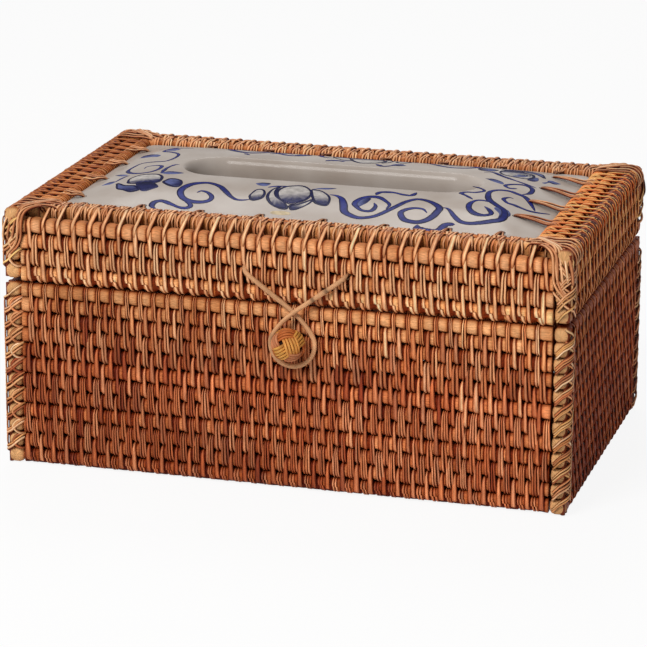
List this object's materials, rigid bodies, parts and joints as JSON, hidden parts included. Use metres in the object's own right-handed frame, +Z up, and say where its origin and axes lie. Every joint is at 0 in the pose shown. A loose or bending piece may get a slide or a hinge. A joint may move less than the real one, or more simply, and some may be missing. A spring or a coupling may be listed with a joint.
{
  "type": "tissue box",
  "caption": "Rectangular woven rattan tissue box with a back-hinged lid, a ceramic top plate with a long rounded slot, and a cane loop that closes over a ball knob.",
  "frame": {"origin": "middle of the underside, on the flat of the bottom mat's middle rod", "axes": "+Z up, +X along the box, the front with the knob faces -Y"},
  "size_m": [0.2498, 0.1745, 0.1192],
  "materials": {
    "rattan_wall": "varnished cane wrapping",
    "rattan_base": "matt cane",
    "cane_lacing": "split cane",
    "cane_loop": "whole cane",
    "knob_weave": "satin split cane",
    "glazed_plate": "clear glossy glaze"
  },
  "bodies": {
    "box": {"box_base_panel": "rattan_base", "box_front_panel": "rattan_wall", "box_back_panel": "rattan_wall", "box_left_panel": "rattan_wall", "box_right_panel": "rattan_wall", "box_lacing_front_left": "cane_lacing", "box_lacing_front_right": "cane_lacing", "box_lacing_back_left": "cane_lacing", "box_lacing_back_right": "cane_lacing", "hinge_tie_left": "cane_lacing", "hinge_tie_middle": "cane_lacing", "hinge_tie_right": "cane_lacing", "knob_ball": "knob_weave", "knob_stem": "cane_lacing"},
    "lid": {"lid_front_panel": "rattan_wall", "lid_back_panel": "rattan_wall", "lid_left_panel": "rattan_wall", "lid_right_panel": "rattan_wall", "lid_rim_front": "rattan_wall", "lid_rim_back": "rattan_wall", "lid_rim_left": "rattan_wall", "lid_rim_right": "rattan_wall", "plate_ledge_front": "rattan_base", "plate_ledge_back": "rattan_base", "plate_ledge_left": "rattan_base", "plate_ledge_right": "rattan_base", "ceramic_plate": "glazed_plate", "lid_lacing_front_left": "cane_lacing", "lid_lacing_front_right": "cane_lacing", "lid_lacing_back_left": "cane_lacing", "lid_lacing_back_right": "cane_lacing"},
    "loop": {"closure_loop": "cane_loop"}
  },
  "joints": [
    {"name": "lid_open", "type": "hinge", "parent": "box", "child": "lid", "pos_m": [0, 0.0748, 0.0866], "axis": [-1, 0, 0], "range_deg": [0, 95]},
    {"name": "loop_swing", "type": "hinge", "parent": "lid", "child": "loop", "pos_m": [0.006, -0.0748, 0.0945], "axis": [-1, 0, 0], "range_deg": [0, 35], "stiffness_Nm_per_rad": 0.004}
  ]
}
